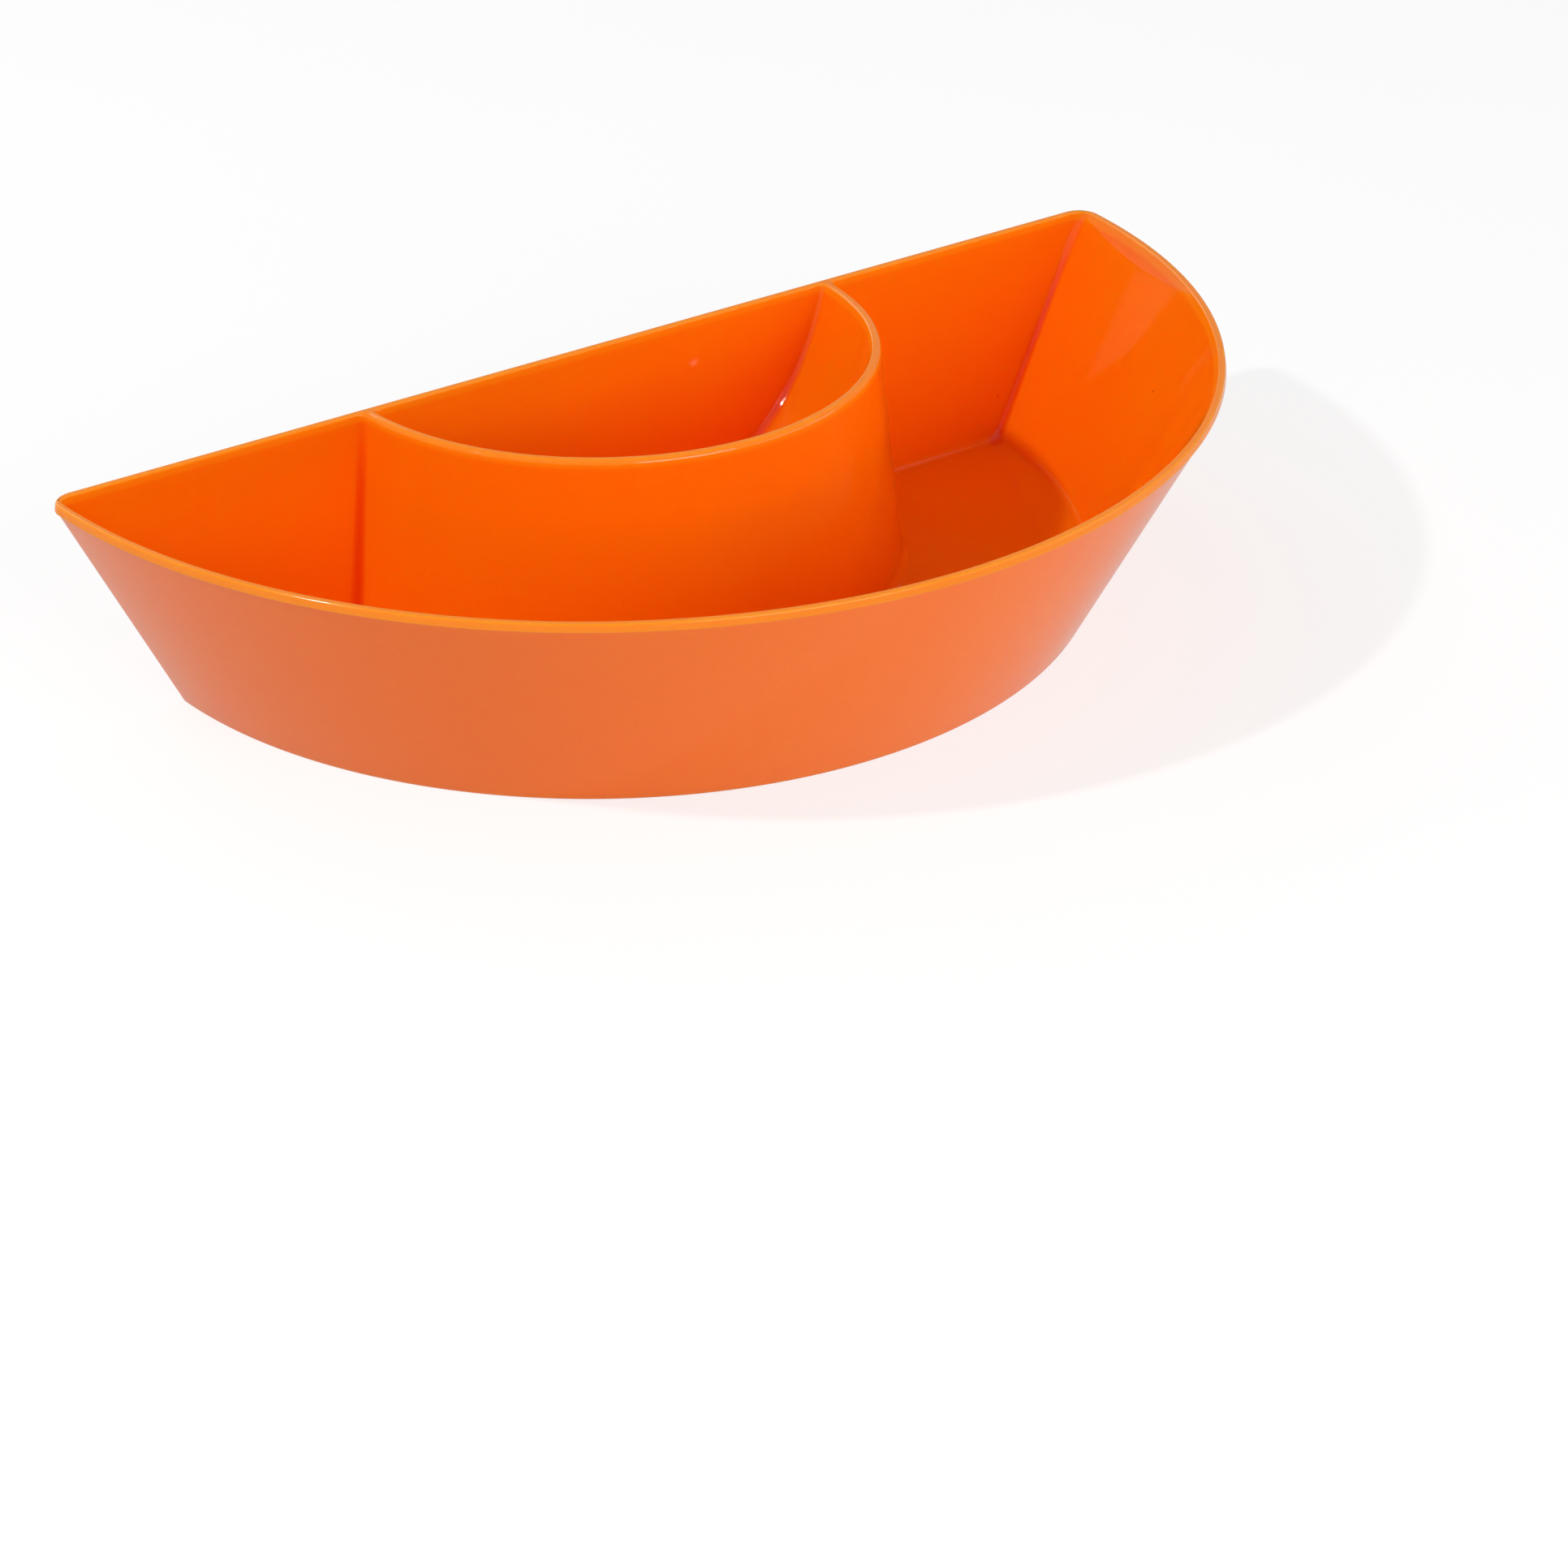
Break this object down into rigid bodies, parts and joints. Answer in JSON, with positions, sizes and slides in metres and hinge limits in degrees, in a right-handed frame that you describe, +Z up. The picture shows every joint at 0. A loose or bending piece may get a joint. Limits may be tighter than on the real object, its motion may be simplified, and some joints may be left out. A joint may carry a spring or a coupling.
{
  "type": "chip and dip server",
  "caption": "Half-round serving bowl with a straight back, a flared curved wall, a deep channel for chips and a round well for dip behind a curved divider.",
  "frame": {"origin": "under the middle of the bounding box, in the plane that the foot stands on", "axes": "+X along the straight back, +Y from the curved front to the straight back, +Z up"},
  "size_m": [0.3558, 0.178, 0.07],
  "materials": {
    "orange_plastic": "gloss"
  },
  "bodies": {
    "root": {"server_bowl": "orange_plastic"}
  },
  "joints": []
}
